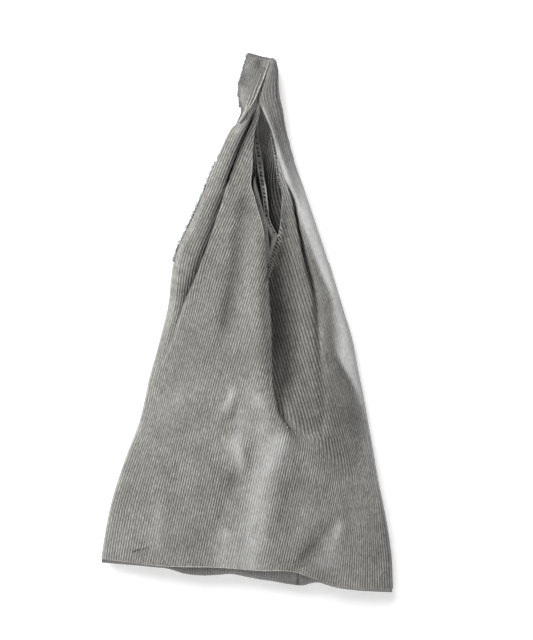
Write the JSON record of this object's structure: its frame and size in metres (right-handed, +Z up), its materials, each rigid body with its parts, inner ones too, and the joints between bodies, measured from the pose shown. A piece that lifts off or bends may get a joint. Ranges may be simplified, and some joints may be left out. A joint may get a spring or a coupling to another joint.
{
  "type": "knot bag",
  "caption": "Soft tapered cloth shoulder bag in ribbed corduroy, hanging by two hand loops cut in one with its sides, with a slit mouth between them.",
  "frame": {"origin": "on the axis of the rail that the two hand loops hang on, midway through the loops", "axes": "+Z up along the hanging bag, front towards -Y, +X to the right seen from the front and along the rail"},
  "size_m": [0.3712, 0.0487, 0.6861],
  "materials": {
    "corduroy": "wide-rib cotton corduroy, matt, pale on the rib crowns",
    "corduroy_base": "the same corduroy, ribs running across the base",
    "seam_cloth": "turned and pressed corduroy edge",
    "overlock_thread": "loose spun overlock thread with fraying pile"
  },
  "bodies": {
    "bag_body": {"front_panel": "corduroy", "back_panel": "corduroy", "bottom_panel": "corduroy_base", "left_side_seam": "seam_cloth", "right_side_seam": "seam_cloth", "front_bottom_seam": "seam_cloth", "back_bottom_seam": "seam_cloth"},
    "left_shoulder": {"left_shoulder_front": "corduroy", "left_mouth_hem_front": "seam_cloth", "left_armhole_overlock_front": "overlock_thread", "left_shoulder_back": "corduroy", "left_mouth_hem_back": "seam_cloth", "left_armhole_overlock_back": "overlock_thread"},
    "left_loop": {"left_strap_front": "corduroy", "left_strap_back": "corduroy", "left_strap_top_seam": "seam_cloth", "left_strap_hem": "seam_cloth", "left_strap_overlock": "overlock_thread"},
    "right_shoulder": {"right_shoulder_front": "corduroy", "right_mouth_hem_front": "seam_cloth", "right_armhole_overlock_front": "overlock_thread", "right_shoulder_back": "corduroy", "right_mouth_hem_back": "seam_cloth", "right_armhole_overlock_back": "overlock_thread"},
    "right_loop": {"right_strap_front": "corduroy", "right_strap_back": "corduroy", "right_strap_top_seam": "seam_cloth", "right_strap_hem": "seam_cloth", "right_strap_overlock": "overlock_thread"}
  },
  "joints": [
    {"name": "left_shoulder_spread", "type": "hinge", "parent": "bag_body", "child": "left_shoulder", "pos_m": [-0.112, 0, -0.25], "axis": [0, -1, 0], "range_deg": [0, 35]},
    {"name": "right_shoulder_spread", "type": "hinge", "parent": "bag_body", "child": "right_shoulder", "pos_m": [0.084, 0, -0.25], "axis": [0, 1, 0], "range_deg": [0, 35]},
    {"name": "left_loop_flop", "type": "hinge", "parent": "left_shoulder", "child": "left_loop", "pos_m": [-0.033, -0.0156, -0.12], "axis": [1, 0, 0], "range_deg": [0, 150]},
    {"name": "right_loop_flop", "type": "hinge", "parent": "right_shoulder", "child": "right_loop", "pos_m": [0.032, -0.0156, -0.12], "axis": [1, 0, 0], "range_deg": [0, 150]}
  ]
}
